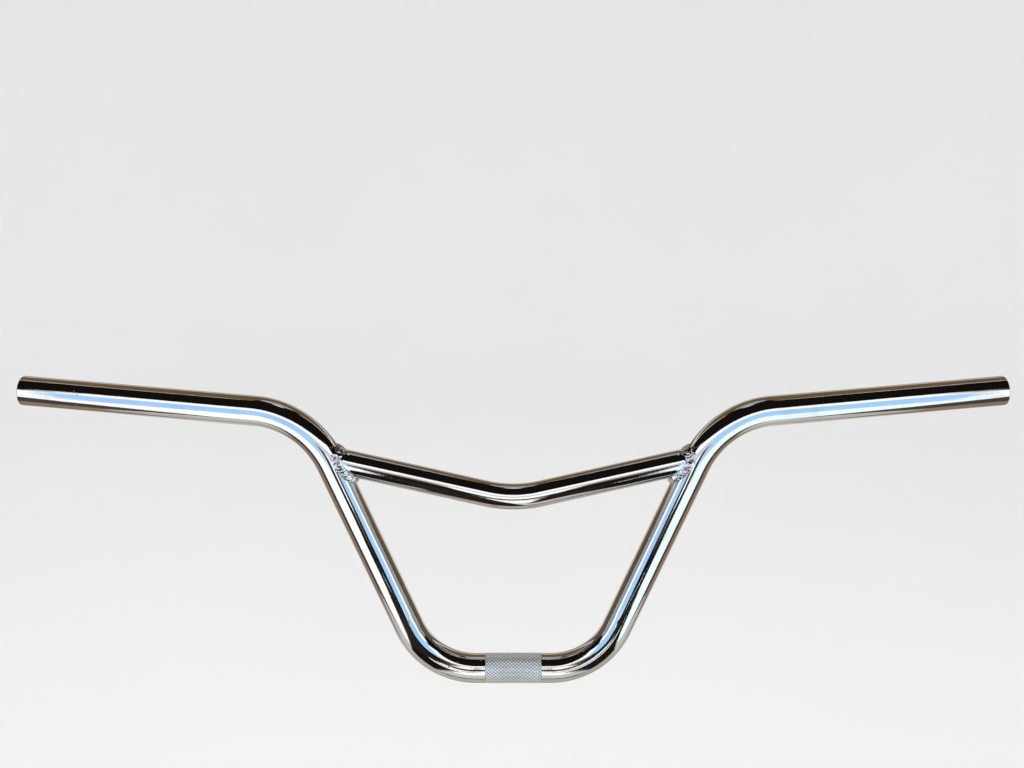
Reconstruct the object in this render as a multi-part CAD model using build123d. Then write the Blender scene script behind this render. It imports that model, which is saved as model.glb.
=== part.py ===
from build123d import *
import math
import os

# BMX handlebar: one bent steel tube, a bent crossbar coped to its legs, and a weld at each joint.
# Origin at the centre of the stem clamp, +X along the clamp axis, +Y towards the rider,
# which is the way the grips sweep, and +Z up. Millimetres and degrees.

# Tubes
TUBE_OD = 22.2
TUBE_WALL = 1.6
CROSSBAR_OD = 19.0
CROSSBAR_WALL = 1.4

# Bends of the main tube, along its centreline
BAR_WIDTH = 729.8
BAR_RISE = 201.3
CLAMP_STRAIGHT = 55.0
LEG_LEAN = 23.75
BACKSWEEP = 12.0
UPSWEEP = 2.0
LOWER_BEND_RADIUS = 53.7
UPPER_BEND_RADIUS = 62.5

# Crossbar, along its centreline
CROSSBAR_SLOPE = 13.0
CROSSBAR_BEND_RADIUS = 90.0
CROSSBAR_PAST_BEND_START = 4.5

# Knurled band that the stem grips
KNURL_INSET = 6.5
KNURL_RAISE = 0.2

# Welds: how far they reach along each tube, how high their crown stands and how it ripples
WELD_LEG = 4.2
WELD_CROWN = 0.7
WELD_RIPPLE_DEPTH = 0.45
WELD_RIPPLE_PITCH = 2.4
WELD_SUNK = 0.8
SEAM_HALVINGS = 30

# Tube ends, and the vent that lets the crossbar's air and plating liquid out
END_ROUNDING = 0.6
BORE_CHAMFER = 0.4
VENT_DIAMETER = 4.0

# Places that follow from the sizes above
tube_radius = TUBE_OD / 2
bore_radius = tube_radius - TUBE_WALL
crossbar_radius = CROSSBAR_OD / 2
knurl_length = CLAMP_STRAIGHT - 2 * KNURL_INSET

lean = math.radians(LEG_LEAN)
backsweep = math.radians(BACKSWEEP)
upsweep = math.radians(UPSWEEP)
slope = math.radians(CROSSBAR_SLOPE)
leg_direction = Vector(math.sin(lean), 0, math.cos(lean))
arm_direction = Vector(
    math.cos(upsweep) * math.cos(backsweep),
    math.cos(upsweep) * math.sin(backsweep),
    math.sin(upsweep),
)
crossbar_direction = Vector(-math.cos(slope), 0, -math.sin(slope))
crossbar_up = Vector(-math.sin(slope), 0, math.cos(slope))


def tangent_length(radius, turn):
    """Distance from a corner to where a bend of this radius starts, for a turn in degrees."""
    return radius * math.tan(math.radians(turn) / 2)


def mirrored_path(half, radii):
    """A bent centreline from its right half: corners from the middle outwards, radii in the same order."""
    left = [Vector(-p.X, p.Y, p.Z) for p in reversed(half)]
    return FilletPolyline(*left, *half, radius=[*reversed(radii), *radii])


def round_bar(path, radius):
    """Solid round bar along a centreline."""
    return sweep(Plane(origin=path @ 0, z_dir=path % 0) * Circle(radius), path=path)


lower_turn = 90 - LEG_LEAN
upper_turn = leg_direction.get_angle(arm_direction)

# The arm's length makes the overall width and the rise come out at their stated values
lower_corner = Vector(CLAMP_STRAIGHT / 2 + tangent_length(LOWER_BEND_RADIUS, lower_turn), 0, 0)
arm_reach = BAR_WIDTH / 2 - lower_corner.X - BAR_RISE * math.tan(lean)
arm_length = arm_reach / (arm_direction.X - arm_direction.Z * math.tan(lean))
leg_length = (BAR_RISE - arm_length * arm_direction.Z) / leg_direction.Z
upper_corner = lower_corner + leg_direction * leg_length
bar_end = upper_corner + arm_direction * arm_length
main_path = mirrored_path([lower_corner, upper_corner, bar_end], [LOWER_BEND_RADIUS, UPPER_BEND_RADIUS])

# The crossbar's axis crosses the leg's axis just past the start of the upper bend
joint_below_corner = tangent_length(UPPER_BEND_RADIUS, upper_turn) - CROSSBAR_PAST_BEND_START
joint = upper_corner - leg_direction * joint_below_corner
joint_angle = (-leg_direction).get_angle(crossbar_direction)
far_joint = Vector(-joint.X, 0, joint.Z)
crossbar_corner = Vector(0, 0, joint.Z - joint.X * math.tan(slope))
crossbar_path = FilletPolyline(far_joint, crossbar_corner, joint, radius=CROSSBAR_BEND_RADIUS)

main_blank = round_bar(main_path, tube_radius)
crossbar_blank = round_bar(crossbar_path, crossbar_radius)


def knurled_band():
    """Slightly raised band around the clamp section, with its two rims chamfered down to the tube."""
    band = Plane.YZ * Cylinder(tube_radius + KNURL_RAISE, knurl_length)
    return chamfer(band.edges().filter_by(GeomType.CIRCLE), KNURL_RAISE)


def vent(side):
    """Drill along the crossbar's axis, through the near wall of one leg only."""
    start = Vector(side * joint.X, 0, joint.Z)
    along = Vector(side * crossbar_direction.X, 0, crossbar_direction.Z)
    alignment = (Align.CENTER, Align.CENTER, Align.MIN)
    return Plane(origin=start, z_dir=along) * Cylinder(VENT_DIAMETER / 2, TUBE_OD, align=alignment)


def end_rims(tube):
    """The circles around the tube's two flat ends: the two bore rims first, then the two outer rims."""
    ends = tube.faces().filter_by(GeomType.PLANE)
    return ends.edges().sort_by(SortBy.RADIUS)


def main_tube():
    """The bent tube: knurled clamp section, two bends a side, open square-cut ends."""
    tube = main_blank + knurled_band() - round_bar(main_path, bore_radius)
    tube = fillet(end_rims(tube)[2:], END_ROUNDING)
    tube = chamfer(end_rims(tube)[:2], BORE_CHAMFER)
    return tube - vent(1) - vent(-1)


def crossbar():
    """The V-bent brace, hollow, with both ends coped to the legs."""
    bore = round_bar(crossbar_path, crossbar_radius - CROSSBAR_WALL)
    return crossbar_blank - bore - main_blank


def off_centreline(point):
    """The main tube's centre nearest to a point, the outward direction there and how far out the point is."""
    distance, centre, _ = main_path.distance_to_with_closest_points(point)
    return centre, (point - centre).normalized(), distance


def seam_point(outward):
    """Where the line along the crossbar's surface on this side of it meets the leg's surface."""
    inside, outside = 0.0, 2 * TUBE_OD
    for _ in range(SEAM_HALVINGS):
        middle = (inside + outside) / 2
        point = joint + outward * crossbar_radius + crossbar_direction * middle
        _, _, distance = off_centreline(point)
        if distance < tube_radius:
            inside = middle
        else:
            outside = middle
    return point


def bead_section(around, crown):
    """Corners of the weld at an angle round the crossbar from its top: root, leg toe, crown, crossbar toe."""
    from_crossbar = crossbar_up * math.cos(around) + Vector(0, math.sin(around), 0)
    seam = seam_point(from_crossbar)
    _, from_leg, _ = off_centreline(seam)
    outwards = (from_crossbar + from_leg).normalized()
    along_leg = (from_crossbar - from_leg * from_crossbar.dot(from_leg)).normalized()
    centre, toe_direction, _ = off_centreline(seam + along_leg * WELD_LEG)
    leg_toe = centre + toe_direction * tube_radius
    crossbar_toe = seam + crossbar_direction * WELD_LEG
    crown_point = (leg_toe + crossbar_toe) / 2 + outwards * crown
    root = seam - outwards * WELD_SUNK
    return [root, leg_toe - toe_direction * WELD_SUNK, crown_point, crossbar_toe - from_crossbar * WELD_SUNK]


def ring_solid(sections):
    """Closed ring through sections with equally many corners, skinned in flat triangles."""
    faces = []
    for here, there in zip(sections, sections[1:] + sections[:1]):
        for a, b, c, d in zip(here, here[1:] + here[:1], there[1:] + there[:1], there):
            faces.append(Face(Polyline(a, b, c, close=True)))
            faces.append(Face(Polyline(a, c, d, close=True)))
    return Solid(Shell(faces))


def weld_bead():
    """The rippled weld all round the crossbar's right end, face to face with both tubes."""
    seam_length = math.pi * crossbar_radius * (1 + 1 / math.sin(math.radians(joint_angle)))
    ripples = round(seam_length / WELD_RIPPLE_PITCH)
    crowns = [WELD_CROWN, WELD_CROWN - WELD_RIPPLE_DEPTH] * ripples
    sections = [bead_section(2 * math.pi * i / len(crowns), crown) for i, crown in enumerate(crowns)]
    return ring_solid(sections) - main_blank - crossbar_blank


def export_parts():
    os.makedirs("parts", exist_ok=True)
    right_weld = weld_bead()
    nodes = {
        "main_tube": main_tube(),
        "crossbar": crossbar(),
        "weld_bead_left": mirror(right_weld, Plane.YZ),
        "weld_bead_right": right_weld,
    }
    for name, shape in nodes.items():
        export_step(shape, f"parts/{name}.step")


if __name__ == "__main__":
    export_parts()
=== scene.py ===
import math

import bpy
import numpy as np
from bpy.props import FloatProperty, FloatVectorProperty, IntProperty, PointerProperty
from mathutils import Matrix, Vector


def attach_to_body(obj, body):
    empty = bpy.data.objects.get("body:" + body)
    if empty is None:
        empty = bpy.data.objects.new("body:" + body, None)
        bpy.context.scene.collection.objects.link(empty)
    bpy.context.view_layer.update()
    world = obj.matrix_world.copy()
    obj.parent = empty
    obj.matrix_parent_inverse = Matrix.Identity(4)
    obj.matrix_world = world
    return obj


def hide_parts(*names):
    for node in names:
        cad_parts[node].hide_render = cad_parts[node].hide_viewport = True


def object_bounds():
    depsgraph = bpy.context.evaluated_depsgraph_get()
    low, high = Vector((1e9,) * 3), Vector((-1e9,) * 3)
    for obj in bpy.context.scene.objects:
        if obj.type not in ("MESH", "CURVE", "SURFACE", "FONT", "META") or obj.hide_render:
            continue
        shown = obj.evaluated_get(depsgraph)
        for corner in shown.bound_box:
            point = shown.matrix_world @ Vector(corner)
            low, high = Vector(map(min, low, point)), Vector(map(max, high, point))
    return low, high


bl_info = {
    "name": "BMX Handlebar",
    "version": (1, 0, 0),
    "blender": (4, 5, 0),
    "location": "3D View > Sidebar > Handlebar",
    "description": "Builds a chromed BMX handlebar, its knurled clamp band, its crossbar and its welds",
    "category": "Add Mesh",
}

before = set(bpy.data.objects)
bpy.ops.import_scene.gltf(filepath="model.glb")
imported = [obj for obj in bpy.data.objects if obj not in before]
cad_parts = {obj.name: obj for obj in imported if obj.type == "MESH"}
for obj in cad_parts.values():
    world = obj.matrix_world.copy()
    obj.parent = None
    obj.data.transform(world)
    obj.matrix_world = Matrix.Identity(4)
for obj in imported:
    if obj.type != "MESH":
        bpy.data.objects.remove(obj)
CAD_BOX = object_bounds()

SIDES = (("left", -1.0), ("right", 1.0))
FIRST_WELD_SEED = 40


# Sizes and colours that a user would change


def length(name, default, description, precision=4):
    return FloatProperty(
        name=name, default=default, min=0.0, description=description,
        subtype="DISTANCE", unit="LENGTH", precision=precision,
    )


def angle(name, degrees, description):
    return FloatProperty(
        name=name, default=math.radians(degrees), description=description, subtype="ANGLE", unit="ROTATION",
    )


def colour(name, default, description):
    return FloatVectorProperty(
        name=name, default=default, min=0.0, max=1.0, size=3, subtype="COLOR", description=description,
    )


def share(name, default, description):
    return FloatProperty(name=name, default=default, min=0.0, max=1.0, description=description)


class TubeSizes(bpy.types.PropertyGroup):
    """Sizes of the main tube, along its centreline."""

    radius: length("Tube radius", 0.01106, "Half of the tube's outside diameter")
    wall: length("Wall", 0.0016, "Thickness of the tube's wall")
    half_width: length("Half width", 0.3649, "From the middle to an end's centre")
    rise: length("Rise", 0.2013, "From the clamp's axis up to an end's centre")
    clamp_straight: length("Clamp straight", 0.055, "Straight length at the clamp")
    leg_lean: angle("Leg lean", 23.75, "How far each leg leans out from upright")
    backsweep: angle("Backsweep", 12.0, "How far the arms turn back towards the rider")
    upsweep: angle("Upsweep", 2.0, "How far the arms rise towards their ends")
    lower_bend: length("Lower bend", 0.0537, "Centreline radius of the two lower bends")
    upper_bend: length("Upper bend", 0.0625, "Centreline radius of the two upper bends")
    end_rounding: length("End rounding", 0.0006, "Radius of the rounded outer edge at each open end")
    bore_chamfer: length("Bore chamfer", 0.0004, "Chamfer of the bore at each open end")
    around: IntProperty(name="Around", default=128, min=24, max=256, description="Faces around the tube")


class KnurlSizes(bpy.types.PropertyGroup):
    """Sizes of the knurled band that the stem grips."""

    band_length: length("Band length", 0.042, "Length of the knurled band along the clamp")
    crest: length("Crest height", 0.0002, "How far the crests stand above the tube", 5)
    depth: length("Groove depth", 0.0002, "Depth of the grooves below the crests", 5)
    pitch_along: length("Pitch along", 0.0026, "Length of one diamond along the tube")
    diamonds_around: IntProperty(
        name="Diamonds around", default=28, min=12, max=90, description="Diamonds in one turn",
    )
    samples: IntProperty(name="Samples", default=8, min=4, max=10, description="Grid steps in one diamond")


class CrossbarSizes(bpy.types.PropertyGroup):
    """Sizes of the crossbar, along its centreline."""

    radius: length("Crossbar radius", 0.0095, "Half of the crossbar's outside diameter")
    wall: length("Wall", 0.0014, "Thickness of the crossbar's wall")
    slope: angle("Slope", 13.0, "How far each half climbs outwards")
    bend: length("Middle bend", 0.090, "Centreline radius of the bend in the middle")
    past_bend_start: length("Past bend start", 0.0045, "How far above the start of the upper bend the axes meet")
    around: IntProperty(name="Around", default=128, min=24, max=256, description="Faces around the crossbar")


class WeldSizes(bpy.types.PropertyGroup):
    """Sizes of the weld bead at each joint."""

    leg: length("Leg", 0.0042, "Reach of the bead along each tube, from the seam")
    crown: length("Crown", 0.0005, "Height of the bead's middle above a straight chamfer")
    ripple: length("Ripple", 0.00042, "Height of one ripple", 5)
    pitch: length("Ripple pitch", 0.0031, "Distance from one ripple to the next")
    sunk: length("Sunk", 0.0008, "How deep the bead's hidden root lies")
    unevenness: share("Unevenness", 0.75, "How much the ripples differ from one another")
    around: IntProperty(name="Around", default=620, min=64, max=900, description="Grid steps round the joint")
    across: IntProperty(name="Across", default=34, min=8, max=64, description="Grid steps from toe to toe")


class FinishColours(bpy.types.PropertyGroup):
    """Colours and gloss of the plating."""

    chrome: colour("Chrome", (0.80, 0.805, 0.81), "Bright plating")
    # Haze is also the colour that the weld's valleys take, as painted shade.
    haze: colour("Haze", (0.66, 0.66, 0.67), "Plating where it is dull or handled")
    # The crest colour is brighter than the plating and is a painted highlight on the knurl's tops. The groove
    # colour is painted shade in its grooves.
    crest: colour("Crest", (0.94, 0.975, 1.0), "Bright flattened tops of the knurl")
    groove_shade: colour("Groove", (0.03, 0.03, 0.04), "Shaded bottoms of the knurl's grooves")
    pit: colour("Pit", (0.10, 0.085, 0.07), "Specks and pits in the plating")
    bare: colour("Bare steel", (0.33, 0.32, 0.31), "Thinly plated steel inside the bore")
    stain: colour("Stain", (0.16, 0.15, 0.14), "Stains inside the bore")
    gloss: share("Roughness", 0.045, "Roughness of the clean plating")
    haze_gloss: share("Haze roughness", 0.13, "Roughness where the plating is dull")
    knurl_gloss: share("Knurl roughness", 0.285, "Roughness of the knurl's crests")
    knurl_metal: share("Knurl metal", 0.74, "How metallic the knurl is")
    bore_gloss: share("Bore roughness", 0.36, "Roughness inside the bore")


class StageColours(bpy.types.PropertyGroup):
    """Colours of the floor, the lamps and the reflection cards."""

    floor: colour("Floor", (0.86, 0.86, 0.86), "Pale floor and backdrop")
    black: colour("Black card", (0.008, 0.006, 0.005), "Dark canopy and mast that the chrome mirrors")
    blue: colour("Blue card", (0.39, 0.65, 0.98), "Pale blue light in front")
    white: colour("White card", (1.0, 1.0, 1.0), "Bright strips in front")
    ice: colour("Ice card", (0.84, 0.98, 1.0), "Faintly blue strip low in front")
    tan: colour("Tan card", (0.30, 0.215, 0.145), "Warm boards beside and behind, below the bar")
    sand: colour("Sand card", (0.86, 0.78, 0.66), "Cap of the mast")
    pale: colour("Pale card", (0.66, 0.66, 0.63), "Dimmer strips low in front and behind")
    grey: colour("Grey card", (0.34, 0.38, 0.40), "Dim sides and canopy behind")
    slate: colour("Slate card", (0.07, 0.062, 0.055), "Dark gaps between the boards")
    brown: colour("Brown card", (0.17, 0.105, 0.052), "Warm dark boards beside, behind and on the mast")
    umber: colour("Umber card", (0.022, 0.013, 0.010), "Small dark boards under the crossbar")
    beige: colour("Beige card", (0.43, 0.38, 0.31), "Warm pale boards below and beside")
    cream: colour("Cream card", (0.52, 0.49, 0.43), "Warm pale boards straight below and behind")
    lamp: FloatProperty(
        name="Lamp power", default=14.0, min=0.0, description="Power of the large soft lamp", unit="POWER",
    )
    world: FloatProperty(name="World", default=1.0, min=0.0, description="Strength of the even light all round")


# How strongly each card's colour shines
TONES = {
    "black": 1.0, "blue": 1.2, "white": 1.35, "ice": 1.3, "pale": 1.0, "grey": 1.0, "slate": 1.0,
    "brown": 1.0, "umber": 1.0, "beige": 1.0, "cream": 1.0, "sand": 1.0, "tan": 1.0,
}
SETTINGS = {
    "handlebar_tube": TubeSizes,
    "handlebar_knurl": KnurlSizes,
    "handlebar_crossbar": CrossbarSizes,
    "handlebar_weld": WeldSizes,
    "handlebar_finish": FinishColours,
    "handlebar_stage": StageColours,
}


# Centrelines


class Centreline:
    """Straight runs joined by arcs, from corners and the radius at each inner corner.

    Each piece of the line is a start point, a start direction, a length and, for an arc, a centre and an
    axis. A point on a run is start + direction * s. A point on an arc is the start turned about the axis
    by s / radius, with Rodrigues' formula. Two side directions are carried along without twist.
    """

    def __init__(self, corners, radii, side):
        corners = np.asarray(corners, float)
        start, pieces = corners[0], []
        for i, radius in enumerate(radii):
            before = unit(corners[i + 1] - corners[i])
            after = unit(corners[i + 2] - corners[i + 1])
            turn = math.acos(float(np.clip(before @ after, -1.0, 1.0)))
            setback = radius * math.tan(turn / 2)
            bend_start = corners[i + 1] - before * setback
            pieces.append((start, before, np.linalg.norm(bend_start - start), 0.0, np.zeros(3), before))
            axis = unit(np.cross(before, after))
            centre = bend_start + np.cross(axis, before) * radius
            pieces.append((bend_start, before, radius * turn, 1.0 / radius, axis, centre))
            start = corners[i + 1] + after * setback
        last = unit(corners[-1] - start)
        pieces.append((start, last, np.linalg.norm(corners[-1] - start), 0.0, np.zeros(3), last))
        self.start, self.direction, self.span, self.curvature, self.axis, self.centre = (
            np.array(column) for column in zip(*pieces)
        )
        self.begin = np.concatenate([[0.0], np.cumsum(self.span)[:-1]])
        self.length = float(self.span.sum())
        sides = [unit(side - self.direction[0] * (self.direction[0] @ np.asarray(side, float)))]
        for curvature, axis, span in zip(self.curvature, self.axis, self.span):
            sides.append(turned(sides[-1], axis, curvature * span))
        self.side = np.array(sides[:-1])

    def at(self, s):
        """Point, direction and two side directions at each distance s along the line."""
        s = np.asarray(s, float)
        i = np.clip(np.searchsorted(self.begin, s, side="right") - 1, 0, len(self.begin) - 1)
        local = s - self.begin[i]
        phi = local * self.curvature[i]
        run = self.start[i] + self.direction[i] * local[..., None]
        arc = self.centre[i] + turned(self.start[i] - self.centre[i], self.axis[i], phi)
        point = np.where((self.curvature[i] > 0)[..., None], arc, run)
        direction = turned(self.direction[i], self.axis[i], phi)
        side = turned(self.side[i], self.axis[i], phi)
        return point, direction, side, np.cross(direction, side)

    def off(self, points):
        """Distance from the line and the outward direction at each point, from its nearest piece."""
        points = np.asarray(points, float)
        best = np.full(points.shape[:-1], np.inf)
        outward = np.zeros(points.shape)
        for k in range(len(self.span)):
            if self.curvature[k] > 0:
                offset = points - self.centre[k]
                height = (offset @ self.axis[k])[..., None] * self.axis[k]
                radial = offset - height
                nearest = self.centre[k] + unit(radial) / self.curvature[k]
                first = self.start[k] - self.centre[k]
                forward = self.direction[k]
                phi = np.arctan2(radial @ forward, radial @ unit(first))
                inside = (phi >= 0) & (phi <= self.span[k] * self.curvature[k])
            else:
                along = (points - self.start[k]) @ self.direction[k]
                inside = (along >= 0) & (along <= self.span[k])
                nearest = self.start[k] + along[..., None] * self.direction[k]
            gap = points - nearest
            distance = np.linalg.norm(gap, axis=-1)
            better = inside & (distance < best)
            best = np.where(better, distance, best)
            outward = np.where(better[..., None], gap / np.maximum(distance, 1e-9)[..., None], outward)
        return best, outward


def unit(vectors):
    """Vectors with length 1, along the last axis."""
    vectors = np.asarray(vectors, float)
    return vectors / np.linalg.norm(vectors, axis=-1, keepdims=True)


def turned(vectors, axis, phi):
    """Vectors turned about an axis by phi, by Rodrigues' formula."""
    phi = np.asarray(phi, float)[..., None]
    along = (vectors * axis).sum(-1, keepdims=True) * axis
    return vectors * np.cos(phi) + np.cross(axis, vectors) * np.sin(phi) + along * (1 - np.cos(phi))


def mirrored(half):
    """Corners of the whole bar from those of its right half, from the left end to the right."""
    half = np.asarray(half, float)
    return np.concatenate([half[::-1] * (-1, 1, 1), half])


def tube_corners(tube):
    """The right half's lower corner, upper corner and end, and the leg's and the arm's directions.

    The lower corner is half the straight plus the bend's setback out. The arm's reach makes the width
    come out, and the leg's length makes the rise come out.
    """
    lean, sweep, up = tube.leg_lean, tube.backsweep, tube.upsweep
    leg = np.array([math.sin(lean), 0.0, math.cos(lean)])
    arm = np.array([math.cos(up) * math.cos(sweep), math.cos(up) * math.sin(sweep), math.sin(up)])
    lower_x = tube.clamp_straight / 2 + tube.lower_bend * math.tan((math.pi / 2 - lean) / 2)
    arm_reach = tube.half_width - lower_x - tube.rise * math.tan(lean)
    arm_length = arm_reach / (arm[0] - arm[2] * math.tan(lean))
    leg_length = (tube.rise - arm_length * arm[2]) / leg[2]
    lower = np.array([lower_x, 0.0, 0.0])
    upper = lower + leg * leg_length
    return lower, upper, upper + arm * arm_length, leg, arm


def main_line(tube):
    """Centreline of the whole main tube, from the left end to the right end."""
    lower, upper, end, _, _ = tube_corners(tube)
    radii = [tube.upper_bend, tube.lower_bend, tube.lower_bend, tube.upper_bend]
    return Centreline(mirrored([lower, upper, end]), radii, (0.0, 1.0, 0.0))


def joint_place(tube, cross):
    """Where the crossbar's axis meets the right leg's axis."""
    _, upper, _, leg, arm = tube_corners(tube)
    turn = math.acos(float(leg @ arm))
    return upper - leg * (tube.upper_bend * math.tan(turn / 2) - cross.past_bend_start)


def cross_line(tube, cross):
    """Centreline of the crossbar from the left joint through its middle bend to the right joint."""
    joint = joint_place(tube, cross)
    middle = np.array([0.0, 0.0, joint[2] - joint[0] * math.tan(cross.slope)])
    return Centreline([joint * (-1, 1, 1), middle, joint], [cross.bend], (0.0, 1.0, 0.0))


# Surfaces

# Steps of the rings: along straight runs in metres and along bends in radians
OUTSIDE_STEPS = (0.012, math.radians(1.1))
BORE_STEPS = (0.03, math.radians(4))
CROSSBAR_STEPS = (0.01, math.radians(1.0))
ROUNDING_RINGS = 8

# In sizes of the rounded edge or the chamfer: how far plain rings keep off the tube's end, and the place
# of the one beside each
RING_CLEARANCE = 1.5
RING_BY_ROUNDING = 1.2
RING_BY_CHAMFER = 1.6

# How far the tube dips under the knurled band, and the spacing of the rings at the dip's two edges
BAND_DIP = 0.0009
LIP = 0.0002

# The knurl fades out towards its rims, which end below the tube's surface, and closes deeper down. Its
# flanks are steeper than a plain triangle's, which leaves flat tops.
KNURL_FADE = 0.0007
KNURL_RIM_SUNK = 0.00025
KNURL_ROOT_SUNK = 0.0012
KNURL_STEEPNESS = 1.5

# How far the crossbar's ends run into the legs, how far before the bend its rings stop stretching, and
# the range and the steps of the search for the legs' surface
COPE_OVERLAP = 0.0005
STRETCH_MARGIN = 0.002
COPE_REACH = 0.05
COPE_HALVINGS = 40

# The weld's toes run a little way into the tubes, and its root lies deeper than its hidden corners
TOE_SUNK = 0.0001
ROOT_SHARE = 1.2

# The weld's ripples: how far they drift along the seam, in ripples, and tilt towards one toe, how far the
# toes wander, how far the crescents lag at the toes, how round they are and where their mean height is
RIPPLE_DRIFT = 0.55
RIPPLE_TILT = 0.0005
TOE_WANDER = 0.10
RIPPLE_LAG = 0.42
RIPPLE_POWER = 0.7
RIPPLE_MEAN = 0.55

# The finer lumps' height, and how much of the crown is missing at the very top of the joint
LUMP_HEIGHT = 0.00012
TOP_FLATTENING = 0.6


def full_turn(steps):
    """Angles of a full turn in equal steps, without the last, which would be the first again."""
    return 2 * math.pi * np.arange(steps) / steps


def grid_faces(points, close_rows, close_columns):
    """Quads between rows i and i + 1 and columns j and j + 1 of a grid, whose last ones may join the first."""
    rows, columns = points.shape[:2]
    i = np.arange(rows if close_rows else rows - 1)[:, None]
    j = np.arange(columns if close_columns else columns - 1)[None, :]
    here, there, beside = i * columns, (i + 1) % rows * columns, (j + 1) % columns
    return np.stack([here + j, here + beside, there + beside, there + j], -1).reshape(-1, 4)


def signed_volume(points, faces):
    """Volume inside the faces: a sixth of the sum of a . (b x c) over each quad's two triangles."""
    a, b, c, d = (points[faces[:, k]] for k in range(4))
    return ((a * np.cross(b, c)).sum() + (a * np.cross(c, d)).sum()) / 6


def make_piece(name, points, material, fields, smooth=True):
    """Mesh object from a closed grid of points, with its faces outwards, and its attributes."""
    faces = grid_faces(points, True, True)
    flat = points.reshape(-1, 3)
    if signed_volume(flat, faces) < 0:
        faces = faces[:, ::-1]
    mesh = bpy.data.meshes.new(name)
    mesh.vertices.add(len(flat))
    mesh.vertices.foreach_set("co", flat.astype(np.float32).ravel())
    mesh.loops.add(faces.size)
    mesh.loops.foreach_set("vertex_index", faces.astype(np.int32).ravel())
    mesh.polygons.add(len(faces))
    mesh.polygons.foreach_set("loop_start", np.arange(0, faces.size, 4, dtype=np.int32))
    mesh.polygons.foreach_set("loop_total", np.full(len(faces), 4, dtype=np.int32))
    mesh.polygons.foreach_set("use_smooth", np.full(len(faces), smooth))
    mesh.update(calc_edges=True)
    mesh.validate()
    for field, values in fields.items():
        attribute = mesh.attributes.new(field, "FLOAT", "POINT")
        attribute.data.foreach_set("value", np.broadcast_to(values, points.shape[:2]).astype(np.float32).ravel())
    mesh.materials.append(material)
    piece = bpy.data.objects.new(name, mesh)
    bpy.context.scene.collection.objects.link(piece)
    return piece


def rings(line, s, radius, angles):
    """Rings along a line: the centre at s plus radius times a turn of the two side directions there.

    Each row of s is a ring. Its distances are one for the whole ring or one for each angle.
    """
    point, _, side, other = line.at(s)
    turned_side = side * np.cos(angles)[:, None] + other * np.sin(angles)[:, None]
    return point + turned_side * np.asarray(radius)[..., None, None]


def stations(line, straight_step, bend_step):
    """Distances along the line: sparse on straight runs, closer on arcs, with both ends of each piece."""
    parts = []
    for begin, span, curvature in zip(line.begin, line.span, line.curvature):
        step = bend_step / curvature if curvature > 0 else straight_step
        parts.append(begin + span * np.arange(max(1, round(span / step))) / max(1, round(span / step)))
    return np.concatenate([*parts, [line.length]])


def between_ends(s, margin):
    """Those distances that are farther than a margin from the first and the last."""
    return s[(s > margin) & (s < s[-1] - margin)]


def tube_skin(tube, knurl):
    """The main tube as one closed skin: (distance, radius) pairs go out along the outside, round the
    right end's rounded edge, back through the bore and round the left end's, and each pair is a ring.

    Under the knurled band the outside dips a little, so that the band's grooves lie in front of it.
    """
    line = main_line(tube)
    bore, rounding, cut = tube.radius - tube.wall, tube.end_rounding, tube.bore_chamfer
    middle, half = line.length / 2, knurl.band_length / 2
    outer = between_ends(stations(line, *OUTSIDE_STEPS), rounding * RING_CLEARANCE)
    outer = outer[np.abs(np.abs(outer - middle) - half) > 5 * LIP]
    dips = half - LIP * np.array([-3.0, -0.5, 1.0, 2.0, 3.0])
    ends = [rounding * RING_BY_ROUNDING, line.length - rounding * RING_BY_ROUNDING]
    outer = np.unique(np.concatenate([outer, middle - dips, middle + dips, ends]))
    under_band = np.abs(outer - middle) < half - 1.5 * LIP
    outer_r = np.where(under_band, tube.radius - BAND_DIP, tube.radius)
    turn = np.linspace(0.0, math.pi / 2, ROUNDING_RINGS)
    right_s = line.length - rounding + rounding * np.sin(turn)
    right_r = tube.radius - rounding + rounding * np.cos(turn)
    cone_s = np.array([line.length, line.length - cut, line.length - cut * RING_BY_CHAMFER])
    cone_r = np.array([bore + cut, bore, bore])
    inner = between_ends(stations(line, *BORE_STEPS), cut * RING_CLEARANCE)[::-1]
    inner_r = np.full(len(inner), bore)
    left_s, left_cone_s = (line.length - right_s)[::-1], line.length - cone_s[::-1]
    s = np.concatenate([outer, right_s, cone_s, inner, left_cone_s, left_s])
    radius = np.concatenate([outer_r, right_r, cone_r, inner_r, cone_r[::-1], right_r[::-1]])
    in_bore = np.concatenate([
        np.zeros(len(outer) + ROUNDING_RINGS), [0, 1, 1], np.ones(len(inner)), [1, 1, 0], np.zeros(ROUNDING_RINGS),
    ])
    return rings(line, s[:, None], radius, full_turn(tube.around)), {"bore": in_bore[:, None]}


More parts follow.
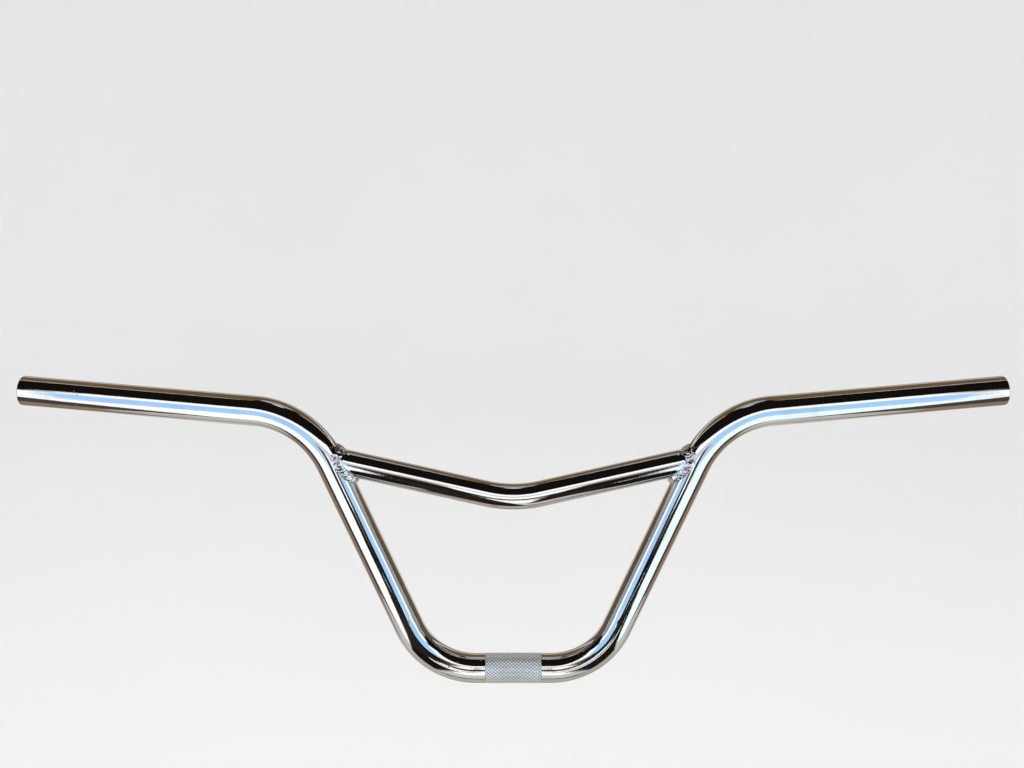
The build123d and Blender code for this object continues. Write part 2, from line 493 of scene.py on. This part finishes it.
def knurled_skin(tube, knurl):
    """The knurled band as a closed sleeve: x along the clamp and an angle around it.

    Two families of grooves cross as helices. The height is crest - depth * (1 - ridge), where ridge is
    the lower of two triangle waves of (x / pitch + turns) and (x / pitch - turns) with flat tops, which
    leaves four-sided pyramids. It fades to the tube at both rims, and the sleeve closes underneath.
    """
    rows = int(round(knurl.band_length / knurl.pitch_along * knurl.samples))
    columns = knurl.diamonds_around * knurl.samples
    half = knurl.band_length / 2
    x = np.linspace(-half, half, rows)
    angles = full_turn(columns)
    along = x[:, None] / knurl.pitch_along
    around = angles[None, :] * knurl.diamonds_around / (2 * math.pi)
    ridge = np.minimum(flat_topped(along + around), flat_topped(along - around))
    rim = np.clip((half - np.abs(x)) / KNURL_FADE, 0.0, 1.0)[:, None]
    height = knurl.crest - knurl.depth * (1 - ridge)
    outside = tube.radius + height * rim - KNURL_RIM_SUNK * (1 - rim)
    radius = np.concatenate([outside, np.full((2, columns), tube.radius - KNURL_ROOT_SUNK)])
    ring = np.stack([np.zeros(columns), np.cos(angles), np.sin(angles)], -1)
    points = ring[None] * radius[..., None]
    points[..., 0] = np.append(x, [half, -half])[:, None]
    # The crest share is what the knurl's material paints as highlight on the tops and as shade in the grooves.
    return points, {"crest": np.concatenate([ridge * rim, np.zeros((2, columns))])}


def flat_topped(t):
    """Triangle wave from 0 to 1 of period 1, made steeper and cut off flat at its tops."""
    triangle = 1 - np.abs(2 * (t - np.floor(t)) - 1)
    return np.minimum(1.0, KNURL_STEEPNESS * triangle)


def cope(other, start, outward, direction, radius):
    """Distance along a direction at which each point start + outward leaves the other tube's surface,
    by halving the range between none and the full reach."""
    low, high = np.zeros(outward.shape[:-1]), np.full(outward.shape[:-1], COPE_REACH)
    for _ in range(COPE_HALVINGS):
        middle = (low + high) / 2
        distance, _ = other.off(start + outward + direction * middle[..., None])
        inside = distance < radius
        low, high = np.where(inside, middle, low), np.where(inside, high, middle)
    return high


def crossbar_skin(tube, cross):
    """The crossbar as one closed skin, outside there and inside back.

    Its rings stretch so that both ends follow the legs: distance = s + stretch * cope, for each angle
    round the bar, where stretch falls from 1 at the left end to 0 at the bend and to -1 at the right end.
    """
    line, main = cross_line(tube, cross), main_line(tube)
    angles = full_turn(cross.around)
    start, away, side, other = line.at(np.array([0.0]))
    ring = side * np.cos(angles)[:, None] + other * np.sin(angles)[:, None]
    s = stations(line, *CROSSBAR_STEPS)
    straight = line.begin[1] - STRETCH_MARGIN
    from_left = np.clip((straight - s) / straight, 0.0, 1.0)
    from_right = np.clip((s - line.length + straight) / straight, 0.0, 1.0)
    skins = []
    for radius, order in ((cross.radius, 1), (cross.radius - cross.wall, -1)):
        end = cope(main, start[0], ring * radius, away[0], tube.radius - COPE_OVERLAP)
        distance = s[:, None] + (from_left - from_right)[:, None] * end
        skins.append(rings(line, distance[::order], radius, angles))
    return np.concatenate(skins), {"bore": np.repeat([0.0, 1.0], len(s))[:, None]}


def weld_skin(tube, cross, weld, sign, seed):
    """The bead round the crossbar's end, as a ring of curved sections.

    For each angle round the crossbar the seam is where its surface line meets the leg. The section goes
    from a toe on the leg to a toe on the crossbar on a chord, bulged outwards by crown * 4 t (1 - t), and
    the ripples add ripple * (overlapping crescents) that lag towards the toes. The crown is flatter on top.
    Under the surface the section closes through a sunk root.
    """
    main = main_line(tube)
    joint = joint_place(tube, cross)
    inward = np.array([-math.cos(cross.slope), 0.0, -math.sin(cross.slope)])
    up = np.array([-math.sin(cross.slope), 0.0, math.cos(cross.slope)])
    w = full_turn(weld.around)
    outward = up * np.cos(w)[:, None] + np.array([0.0, 1.0, 0.0]) * np.sin(w)[:, None]
    reach = cope(main, joint, outward * cross.radius, inward, tube.radius)
    seam = joint + outward * cross.radius + inward * reach[:, None]
    _, from_leg = main.off(seam)
    along_leg = unit(outward - from_leg * (outward * from_leg).sum(-1, keepdims=True))
    bulge = unit(outward + from_leg)

    # The random draws keep this order, so that the same seed gives the same bead
    rng = np.random.default_rng(seed)
    drift = wander(w, rng, 5) * RIPPLE_DRIFT * weld.unevenness
    size = 1 + wander(w, rng, 9) * weld.unevenness
    lean = wander(w, rng, 4) * RIPPLE_TILT * weld.unevenness
    leg_reach = weld.leg * (1 + TOE_WANDER * wander(w, rng, 6))
    cross_reach = weld.leg * (1 + TOE_WANDER * wander(w, rng, 6))
    toe_point = seam + along_leg * leg_reach[:, None]
    distance, toe_out = main.off(toe_point)
    leg_toe = toe_point + toe_out * (tube.radius - distance)[:, None]
    cross_toe = seam + inward * cross_reach[:, None]

    t = np.linspace(0.0, 1.0, weld.across)
    section = 4 * t * (1 - t)
    run = np.concatenate([[0.0], np.cumsum(np.linalg.norm(np.diff(seam, axis=0), axis=-1))])
    total = run[-1] + np.linalg.norm(seam[0] - seam[-1])
    ripples = round(total / weld.pitch)
    phase = (run / total * ripples + drift)[:, None] - RIPPLE_LAG * (2 * t[None, :] - 1) ** 2
    crescent = np.abs(np.sin(math.pi * phase)) ** RIPPLE_POWER
    flatter = 1 - TOP_FLATTENING * np.clip(np.cos(w), 0.0, 1.0) ** 2
    crown = weld.crown * flatter[:, None] * section[None, :]
    ripple = weld.ripple * size[:, None] * (crescent - RIPPLE_MEAN)
    lumps = rough_lumps(w, t, rng) * LUMP_HEIGHT
    tilt = lean[:, None] * (t[None, :] - 0.5)
    height = crown + (ripple + lumps + tilt) * np.sqrt(section)[None, :]

    chord = leg_toe[:, None] * (1 - t)[None, :, None] + cross_toe[:, None] * t[None, :, None]
    top = chord + bulge[:, None] * height[..., None]
    top[:, 0], top[:, -1] = leg_toe - toe_out * TOE_SUNK, cross_toe - outward * TOE_SUNK
    sunk_leg = leg_toe - toe_out * weld.sunk
    sunk_cross = cross_toe - outward * weld.sunk
    root = seam - bulge * weld.sunk * ROOT_SHARE
    points = np.concatenate([top, sunk_cross[:, None], root[:, None], sunk_leg[:, None]], 1)
    points[..., 0] *= sign
    # The valley share is where the bead's material paints shade between the ripples.
    valley = np.concatenate([1 - crescent * np.sqrt(section)[None, :], np.zeros((weld.around, 3))], 1)
    return points, {"valley": valley}


def wander(w, rng, count):
    """Smooth closed noise of the angle, about -1 to 1: a sum of that many sines with random phases."""
    k = np.arange(1, count + 1)
    phase, size = rng.uniform(0, 2 * math.pi, count), rng.uniform(0.4, 1.0, count)
    waves = np.sin(w[:, None] * (k + 1) + phase) * size
    return waves.sum(1) / np.sqrt((size ** 2).sum())


def rough_lumps(w, t, rng, waves=14):
    """Smooth noise over the bead: products of sines of the angle and of the place across, summed."""
    k = rng.integers(9, 60, waves)
    m = rng.integers(1, 5, waves)
    a, b = rng.uniform(0, 2 * math.pi, waves), rng.uniform(0, 2 * math.pi, waves)
    lumps = np.sin(w[:, None, None] * k + a) * np.sin(math.pi * t[None, :, None] * m + b)
    return lumps.sum(-1) / math.sqrt(waves)


# Shader maths


class Field:
    """A socket of a shader tree, with operators that add Math nodes."""

    def __init__(self, tree, socket):
        self.tree, self.socket = tree, socket

    def node(self, kind, settings=None, inputs=None, output=0):
        """Any node: its type, its settings, its sockets' values or links, and which output is wanted."""
        node = self.tree.nodes.new(kind)
        for key, value in (settings or {}).items():
            setattr(node, key, value)
        for key, value in (inputs or {}).items():
            socket = node.inputs[key]
            if isinstance(value, Field):
                self.tree.links.new(value.socket, socket)
            else:
                socket.default_value = value
        return Field(self.tree, node.outputs[output])

    def maths(self, operation, *values, clamp=False):
        return self.node(
            "ShaderNodeMath", {"operation": operation, "use_clamp": clamp}, dict(enumerate((self, *values)))
        )

    def __add__(self, other):
        return self.maths("ADD", other)

    def __mul__(self, other):
        return self.maths("MULTIPLY", other)

    def __rsub__(self, other):
        return (self * -1.0) + other

    def clamped(self):
        return self.maths("ADD", 0.0, clamp=True)

    def step(self, low, high, bottom=0.0, top=1.0):
        """Smooth change from bottom to top as the value goes from low to high."""
        return self.node(
            "ShaderNodeMapRange",
            {"interpolation_type": "SMOOTHSTEP"},
            {"Value": self, "From Min": low, "From Max": high, "To Min": bottom, "To Max": top},
        )

    def mix(self, low, high):
        """Colour between two, by this value. The sockets' numbers are those of the colour mix."""
        low, high = (tone if isinstance(tone, Field) else (*tone, 1.0) for tone in (low, high))
        return self.node("ShaderNodeMix", {"data_type": "RGBA"}, {0: self, 6: low, 7: high}, output=2)

    def noise(self, scale, detail=2.0, roughness=0.5):
        return self.node(
            "ShaderNodeTexNoise", {}, {"Vector": self, "Scale": scale, "Detail": detail, "Roughness": roughness}
        )

    def cells(self, scale):
        return self.node("ShaderNodeTexVoronoi", {}, {"Vector": self, "Scale": scale})

    def stretched(self, scale):
        return self.node("ShaderNodeMapping", {}, {"Vector": self, "Scale": Vector(scale)})

    def bump(self, strength, distance, normal=None):
        inputs = {"Height": self, "Strength": strength, "Distance": distance}
        if normal is not None:
            inputs["Normal"] = normal
        return self.node("ShaderNodeBump", {}, inputs)


def new_material(name):
    """Empty material, its shader and a Field on Object coordinates."""
    material = bpy.data.materials.new(name)
    material.use_nodes = True
    tree = material.node_tree
    shader = next(node for node in tree.nodes if node.type == "BSDF_PRINCIPLED")
    start = Field(tree, None)
    place = start.node("ShaderNodeTexCoord", output=3)
    return material, shader, place


def attach(shader, **inputs):
    """Sets or links sockets of a shader, with _ for each space in their names."""
    for key, value in inputs.items():
        socket = shader.inputs[key.replace("_", " ")]
        if isinstance(value, Field):
            value.tree.links.new(value.socket, socket)
        else:
            socket.default_value = value


def near(place, point, inner, outer):
    """1 within inner of a point and 0 beyond outer."""
    gap = place.node("ShaderNodeVectorMath", {"operation": "DISTANCE"}, {0: place, 1: Vector(point)}, output=1)
    return gap.step(inner, outer, 1.0, 0.0)


def painted(place, name):
    """The piece's own attribute of this name."""
    return place.node("ShaderNodeAttribute", {"attribute_name": name}, output=2)


# Places of wear: near the left end, beside the clamp, and where the bending tool pressed
HANDLED = (-0.318, 0.03, 0.199)
KNOCKED_RIGHT, KNOCKED_LEFT = (0.045, -0.008, 0.012), (-0.047, -0.008, 0.012)
PRESSED_LEFT, PRESSED_RIGHT = (-0.0735, -0.006, 0.0385), (0.0735, -0.006, 0.0385)


def wear(place):
    """Shares of haze and of specks in the plating.

    The haze is cloudy noise and smears. Specks are the centres of sparse cells, where other noise is high
    or the place is a worn one.
    """
    cloud = place.noise(26.0, 3.0, 0.55).step(0.42, 0.72)
    smear = place.stretched((9.0, 60.0, 9.0)).noise(5.0, 4.0, 0.6).step(0.48, 0.75)
    haze = (cloud * 0.45 + smear * 0.35).clamped()
    handled = near(place, HANDLED, 0.012, 0.030)
    knocked = near(place, KNOCKED_RIGHT, 0.014, 0.030) + near(place, KNOCKED_LEFT, 0.014, 0.030)
    worn = (place.noise(11.0, 1.0).step(0.60, 0.70) * 0.5 + handled + knocked).clamped()
    speck = place.cells(150.0).step(0.035, 0.080, 1.0, 0.0) * worn
    return haze, speck


def tube_chrome(name, finish):
    """Bright plating outside, and stained, thinly plated steel in the bore.

    The normal adds up a slow wave, fine polishing lines, the bending tool's marks and the specks' pits.
    """
    material, shader, place = new_material(name)
    haze, speck = wear(place)
    base = (speck * 0.9).mix(haze.mix(tuple(finish.chrome), tuple(finish.haze)), tuple(finish.pit))
    rough = (haze * (finish.haze_gloss - finish.gloss) + finish.gloss + speck * 0.4).clamped()
    wave = place.noise(38.0, 1.0).bump(0.10, 0.0012)
    lines = place.stretched((40.0, 40.0, 40.0)).noise(28.0, 3.0, 0.7).bump(0.03, 0.0004, wave)
    pressed = near(place, PRESSED_LEFT, 0.0, 0.008) + near(place, PRESSED_RIGHT, 0.0, 0.008)
    marked = (pressed * -1.0).bump(0.5, 0.0005, lines)
    normal = (speck * -1.0).bump(1.0, 0.0006, marked)
    inside = painted(place, "bore").step(0.3, 0.9)
    stain = place.noise(240.0, 4.0, 0.65).step(0.35, 0.7)
    base = inside.mix(base, stain.mix(tuple(finish.bare), tuple(finish.stain)))
    rough = rough * (1.0 - inside) + inside * finish.bore_gloss
    attach(shader, Base_Color=base, Metallic=1.0, Roughness=rough, Normal=normal)
    return material


def weld_chrome(name, finish):
    """Plating over the bead: darker in the valleys between ripples as painted shade, a little rougher there, and
    gritty.
    """
    material, shader, place = new_material(name)
    haze, speck = wear(place)
    valley = painted(place, "valley")
    # The valleys take the haze colour as painted shade in the bead's recesses.
    base = (speck * 0.7).mix((valley * 0.55).mix(tuple(finish.chrome), tuple(finish.haze)), tuple(finish.pit))
    rough = haze * (finish.haze_gloss - finish.gloss) + finish.gloss + valley * 0.03
    swell = place.noise(330.0, 2.0).bump(0.14, 0.0006)
    normal = place.noise(900.0, 3.0, 0.6).bump(0.05, 0.0003, swell)
    attach(shader, Base_Color=base, Metallic=1.0, Roughness=rough, Normal=normal)
    return material


def knurl_chrome(name, finish):
    """Plating over the knurl: crests painted bright as a highlight and grooves painted dark as shade, both satin.
    """
    material, shader, place = new_material(name)
    # The groove share paints near-black shade in the grooves and a bright highlight colour on the crests.
    groove_shade = painted(place, "crest").step(0.10, 0.45, 1.0, 0.0)
    base = groove_shade.mix(tuple(finish.crest), tuple(finish.groove_shade))
    rough = groove_shade * 0.04 + finish.knurl_gloss
    normal = place.noise(1500.0, 2.0).bump(0.06, 0.0002)
    attach(shader, Base_Color=base, Metallic=finish.knurl_metal, Roughness=rough, Normal=normal)
    return material


# Operators


def sizes():
    """The scene's property groups, by their short names."""
    scene = bpy.context.scene
    return {name.split("_")[1]: getattr(scene, name) for name in SETTINGS}


def settle(piece, slot, *nodes):
    """Rides a piece on the bar and hides the nodes that it stands for. The slot is not used."""
    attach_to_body(piece, "root")
    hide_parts(*nodes)


class HANDLEBAR_OT_main_tube(bpy.types.Operator):
    """Build the bent main tube with its open ends"""

    bl_idname = "handlebar.main_tube"
    bl_label = "Main Tube"

    def execute(self, context):
        s = sizes()
        points, fields = tube_skin(s["tube"], s["knurl"])
        piece = make_piece("main_tube_skin", points, tube_chrome("chromed_tube", s["finish"]), fields)
        settle(piece, "chrome_plate", "main_tube")
        return {"FINISHED"}


class HANDLEBAR_OT_knurled_band(bpy.types.Operator):
    """Build the knurled band that the stem grips"""

    bl_idname = "handlebar.knurled_band"
    bl_label = "Knurled Band"

    def execute(self, context):
        s = sizes()
        points, fields = knurled_skin(s["tube"], s["knurl"])
        material = knurl_chrome("chromed_knurl", s["finish"])
        piece = make_piece("knurled_band", points, material, fields, smooth=False)
        settle(piece, "chrome_plate", "main_tube")
        return {"FINISHED"}


class HANDLEBAR_OT_crossbar(bpy.types.Operator):
    """Build the V-bent crossbar between the legs"""

    bl_idname = "handlebar.crossbar"
    bl_label = "Crossbar"

    def execute(self, context):
        s = sizes()
        points, fields = crossbar_skin(s["tube"], s["crossbar"])
        piece = make_piece("crossbar_skin", points, tube_chrome("chromed_crossbar", s["finish"]), fields)
        settle(piece, "chrome_plate", "crossbar")
        return {"FINISHED"}


class HANDLEBAR_OT_welds(bpy.types.Operator):
    """Build the rippled weld bead at each end of the crossbar"""

    bl_idname = "handlebar.welds"
    bl_label = "Welds"

    def execute(self, context):
        s = sizes()
        material = weld_chrome("chromed_weld", s["finish"])
        for seed, (side, sign) in enumerate(SIDES, FIRST_WELD_SEED):
            points, fields = weld_skin(s["tube"], s["crossbar"], s["weld"], sign, seed)
            piece = make_piece(f"weld_{side}_skin", points, material, fields)
            settle(piece, "chrome_weld", f"weld_bead_{side}")
        return {"FINISHED"}


# Stage

# The floor is a round bowl: flat, then a quarter circle up, then a wall. Its centre lies the drop below
# the bar, and its mottled paint is darker by the last number.
FLOOR_FLAT = 2.8
FLOOR_SWEEP = 1.2
FLOOR_WALL = 1.4
FLOOR_DROP = 0.42
FLOOR_HOLE = 0.001
FLOOR_RINGS = 14
SWEEP_RINGS = 24
FLOOR_COLUMNS = 96
FLOOR_MOTTLE = 0.985

# Each lamp's place, size and share of the lamps' power, and the point that all of them face
LAMPS = (
    ("lamp_key", (-1.1, -0.9, 2.0), 1.6, 1.0),
    ("lamp_fill", (1.5, -1.2, 1.5), 1.4, 0.4),
)
LAMP_TARGET = (0.0, 0.0, 0.1)

# The photograph's camera: its width and focal length in pixels, its sensor, its place and its tilt
PHOTO_WIDTH = 1024
FOCAL_LENGTH = 1709.0
SENSOR_WIDTH = 36.0
CAMERA_PLACE = (-0.00099, -1.19315, 0.490525)
CAMERA_DOWN = 12.92


def both(name, distance, inner, outer, low, high, tone):
    """The same card on the left and on the right."""
    return (
        (f"{name}_left", distance, -outer, -inner, low, high, tone),
        (f"{name}_right", distance, inner, outer, low, high, tone),
    )


# Each card is a patch of a sphere round the bar: distance, first and last bearing from the front towards
# the right, first and last height, all in degrees, and the colour it shows. Cards nearer than a metre
# are stretched sideways, to clear the arms. A nearer card hides what lies behind it.
CARD_CENTRE = (0.0, 0.0, 0.10)
CARD_STEP = math.radians(4)
NEAR = 1.0
NEAR_STRETCH = (1.5, 1.0, 1.0)
CARDS = (
    ("canopy", 1.90, -112, 112, 30, 90, "black"),
    *both("canopy_side", 1.95, 112, 140, 67, 84, "black"),
    ("canopy_back", 1.95, 140, 220, 70, 84, "grey"),
    ("board_back_low", 2.00, 116, 244, 9, 20, "brown"),
    ("strip_back", 2.00, 116, 244, 20, 31, "pale"),
    ("board_back_high", 2.00, 116, 244, 31, 68, "brown"),
    ("back_middle", 2.00, 142, 218, -8, 9, "pale"),
    ("back_low", 0.62, 140, 220, -46, -8, "pale"),
    *both("canopy_low", 1.85, 50, 112, 15.5, 30, "black"),
    ("front_high", 1.50, -50, 50, 17, 30, "white"),
    *both("window", 1.50, 0, 50, -12, 17, "blue"),
    *both("edge", 1.50, 50, 62, -12, 17, "white"),
    *both("side", 1.45, 62, 92, -12, 15.5, "grey"),
    *both("gap", 1.42, 92, 106, -12, 20, "slate"),
    *both("board", 1.40, 106, 142, -16, 24, "brown"),
    ("front_low_left", 0.60, -58, 8, -46, -12, "white"),
    ("front_low_right", 0.60, 8, 58, -46, -12, "ice"),
    ("front_foot", 0.55, -58, 58, -72, -46, "pale"),
    ("foot_seam", 0.54, -58, 58, -77, -72, "slate"),
    *both("seam", 0.57, 58, 88, -49, -18, "slate"),
    *both("tan", 0.58, 88, 140, -49, -18, "tan"),
    *both("pale", 0.57, 58, 88, -62, -49, "pale"),
    *both("cream", 0.58, 88, 140, -62, -49, "cream"),
    ("beige_back", 0.60, 140, 220, -64, -46, "beige"),
    ("tan_back", 0.57, 168, 192, -64, -44, "tan"),
    ("cream_round", 0.53, 58, 302, -77, -62, "cream"),
    ("cream_below", 0.52, 0, 360, -90, -77, "cream"),
)

# Flat boards close to the bar: one corner, the two edges that start there, and the colour
BOARDS = (
    ("mast_left", (-0.15, -0.50, -0.05), (0.115, 0.0, 0.0), (0.0, 0.0, 0.16), "black"),
    ("mast_right", (0.035, -0.50, -0.05), (0.115, 0.0, 0.0), (0.0, 0.0, 0.16), "black"),
    ("mast_middle", (-0.035, -0.50, -0.05), (0.07, 0.0, 0.0), (0.0, 0.0, 0.055), "black"),
    ("mast_rim", (-0.035, -0.50, 0.005), (0.07, 0.0, 0.0), (0.0, 0.0, 0.05), "brown"),
    ("mast_top_left", (-0.15, -0.50, 0.11), (0.115, 0.0, 0.0), (0.0, 0.0, 0.08), "brown"),
    ("mast_top_right", (0.035, -0.50, 0.11), (0.115, 0.0, 0.0), (0.0, 0.0, 0.08), "brown"),
    ("mast_gap", (-0.035, -0.50, 0.055), (0.07, 0.0, 0.0), (0.0, 0.0, 0.135), "white"),
    ("mast_cap", (-0.15, -0.50, 0.19), (0.30, 0.0, 0.0), (0.0, 0.0, 0.07), "sand"),
    ("mast_foot_left", (-0.17, -0.50, -0.16), (0.13, 0.0, 0.0), (0.0, 0.0, 0.11), "black"),
    ("mast_foot_right", (0.04, -0.50, -0.16), (0.13, 0.0, 0.0), (0.0, 0.0, 0.11), "black"),
    ("ramp_left", (-0.049, -0.407, -0.183), (-0.129, -0.016, 0.074), (-0.158, 0.289, -0.213), "black"),
    ("ramp_right", (0.049, -0.407, -0.183), (0.129, -0.016, 0.074), (0.158, 0.289, -0.213), "black"),
    ("shelf_left", (-0.09, -0.03, 0.005), (0.11, 0.0, 0.0), (-0.05, -0.23, 0.0), "umber"),
    ("shelf_right", (0.02, -0.09, 0.005), (0.07, 0.0, 0.0), (0.02, -0.17, 0.0), "umber"),
)


def patch(distance, bearings, heights):
    """Grid on a sphere: x = sin(bearing) cos(height), y = -cos(bearing) cos(height), z = sin(height)."""
    columns = max(2, int(round((bearings[1] - bearings[0]) / CARD_STEP)) + 1)
    rows = max(2, int(round((heights[1] - heights[0]) / CARD_STEP)) + 1)
    bearing = np.linspace(*bearings, columns)[None, :]
    height = np.linspace(*heights, rows)[:, None]
    flat = np.cos(height) * np.ones_like(bearing)
    ball = np.stack([np.sin(bearing) * flat, -np.cos(bearing) * flat, np.sin(height) * np.ones_like(bearing)], -1)
    return np.asarray(CARD_CENTRE) + distance * ball * (NEAR_STRETCH if distance < NEAR else 1.0)


def open_grid(name, points, material, wrap=False):
    """Mesh object of an open grid, or of one whose columns join up."""
    faces = grid_faces(points, False, wrap)
    mesh = bpy.data.meshes.new(name)
    mesh.from_pydata(points.reshape(-1, 3).tolist(), [], faces.tolist())
    mesh.polygons.foreach_set("use_smooth", np.ones(len(faces), dtype=bool))
    mesh.materials.append(material)
    thing = bpy.data.objects.new(name, mesh)
    bpy.context.scene.collection.objects.link(thing)
    return thing


def floor_bowl():
    """Points of the floor: its section's radius and height, turned about the upright axis."""
    turn = np.linspace(0.0, math.pi / 2, SWEEP_RINGS)[1:]
    flat = np.append(FLOOR_HOLE, np.linspace(FLOOR_FLAT / FLOOR_RINGS, FLOOR_FLAT, FLOOR_RINGS))
    radius = np.concatenate([flat, FLOOR_FLAT + FLOOR_SWEEP * np.sin(turn), [FLOOR_FLAT + FLOOR_SWEEP]])
    height = np.concatenate([0 * flat, FLOOR_SWEEP * (1 - np.cos(turn)), [FLOOR_SWEEP + FLOOR_WALL]])
    angles = full_turn(FLOOR_COLUMNS)
    ring = np.stack([np.cos(angles), np.sin(angles), np.zeros(FLOOR_COLUMNS)], -1)
    bowl = ring[None] * radius[:, None, None]
    bowl[..., 2] = height[:, None] + CAD_BOX[0].z - FLOOR_DROP
    return bowl


def plain_glow(name, tone, strength):
    """Material that shows one colour by its own light."""
    material, shader, _ = new_material(name)
    attach(
        shader, Base_Color=(0, 0, 0, 1), Roughness=1.0, Specular_IOR_Level=0.0,
        Emission_Color=(*tone, 1.0), Emission_Strength=strength,
    )
    return material


class HANDLEBAR_OT_stage(bpy.types.Operator):
    """Set up the floor, the soft light, the reflection cards and the camera"""

    bl_idname = "handlebar.stage"
    bl_label = "Stage"

    def execute(self, context):
        tones = sizes()["stage"]
        scene = context.scene
        open_grid("floor_and_backdrop", floor_bowl(), self.floor_paint(tones), wrap=True)
        glows = {tone: plain_glow(f"card_{tone}", getattr(tones, tone), glow) for tone, glow in TONES.items()}
        for name, distance, left, right, low, high, tone in CARDS:
            self.card(name, patch(distance, np.radians((left, right)), np.radians((low, high))), glows[tone])
        for name, corner, across, up, tone in BOARDS:
            first = np.array([np.zeros(3), across])
            self.card(name, np.asarray(corner) + np.stack([first, first + up]), glows[tone])
        self.lamps(scene, tones)
        self.world(scene, tones)
        self.camera(scene)
        scene.view_settings.view_transform = "Standard"
        return {"FINISHED"}

    def floor_paint(self, tones):
        """Pale paint with a faint, slow mottle."""
        material, shader, place = new_material("pale_floor")
        mottle = place.noise(1.4, 2.0).step(0.3, 0.7)
        base = mottle.mix(tuple(tones.floor), tuple(FLOOR_MOTTLE * c for c in tones.floor))
        attach(shader, Base_Color=base, Roughness=0.75, Specular_IOR_Level=0.2)
        return material

    def card(self, name, points, material):
        """A card that only the chrome's reflections see, so that it neither shows nor casts a shadow."""
        card = open_grid(f"card_{name}", points, material)
        card.visible_camera = card.visible_diffuse = card.visible_shadow = False
        card.visible_transmission = card.visible_volume_scatter = False

    def lamps(self, scene, tones):
        """One large soft lamp high to the left and front, and a weaker one to the right."""
        for name, place, size, power in LAMPS:
            light = bpy.data.lights.new(name, "AREA")
            light.shape, light.size, light.energy = "SQUARE", size, tones.lamp * power
            lamp = bpy.data.objects.new(name, light)
            scene.collection.objects.link(lamp)
            lamp.location = place
            lamp.rotation_euler = (Vector(LAMP_TARGET) - Vector(place)).to_track_quat("-Z", "Y").to_euler()
            lamp.visible_glossy = lamp.visible_camera = False

    def world(self, scene, tones):
        """Even white light from all round."""
        world = bpy.data.worlds.new("even_light")
        world.use_nodes = True
        background = world.node_tree.nodes["Background"]
        background.inputs["Color"].default_value = (1.0, 1.0, 1.0, 1.0)
        background.inputs["Strength"].default_value = tones.world
        scene.world = world

    def camera(self, scene):
        """Camera at the photograph's place, with its lens."""
        data = bpy.data.cameras.new("camera")
        data.sensor_width = SENSOR_WIDTH
        data.lens = FOCAL_LENGTH / PHOTO_WIDTH * SENSOR_WIDTH
        camera = bpy.data.objects.new("camera", data)
        scene.collection.objects.link(camera)
        camera.location = CAMERA_PLACE
        camera.rotation_euler = (math.radians(90 - CAMERA_DOWN), 0.0, 0.0)
        scene.camera = camera


class HANDLEBAR_PT_panel(bpy.types.Panel):
    """Sizes, colours and build buttons of the handlebar"""

    bl_idname = "HANDLEBAR_PT_panel"
    bl_label = "BMX Handlebar"
    bl_space_type = "VIEW_3D"
    bl_region_type = "UI"
    bl_category = "Handlebar"

    def draw(self, context):
        for operator in OPERATORS:
            self.layout.operator(operator.bl_idname)
        for name, group in SETTINGS.items():
            box = self.layout.box()
            box.label(text=group.__doc__.rstrip("."))
            for field in group.__annotations__:
                box.prop(getattr(context.scene, name), field)


OPERATORS = (
    HANDLEBAR_OT_main_tube,
    HANDLEBAR_OT_knurled_band,
    HANDLEBAR_OT_crossbar,
    HANDLEBAR_OT_welds,
    HANDLEBAR_OT_stage,
)
CLASSES = (*SETTINGS.values(), *OPERATORS, HANDLEBAR_PT_panel)


def register():
    for cls in CLASSES:
        bpy.utils.register_class(cls)
    for name, group in SETTINGS.items():
        setattr(bpy.types.Scene, name, PointerProperty(type=group))


def unregister():
    for name in SETTINGS:
        delattr(bpy.types.Scene, name)
    for cls in reversed(CLASSES):
        bpy.utils.unregister_class(cls)


def main():
    register()
    for thing in ("Cube", "Camera", "Light"):
        if thing in bpy.data.objects:
            bpy.data.objects.remove(bpy.data.objects[thing])
    bpy.ops.handlebar.main_tube()
    bpy.ops.handlebar.knurled_band()
    bpy.ops.handlebar.crossbar()
    bpy.ops.handlebar.welds()
    bpy.ops.handlebar.stage()
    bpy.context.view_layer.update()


if __name__ == "__main__":
    main()
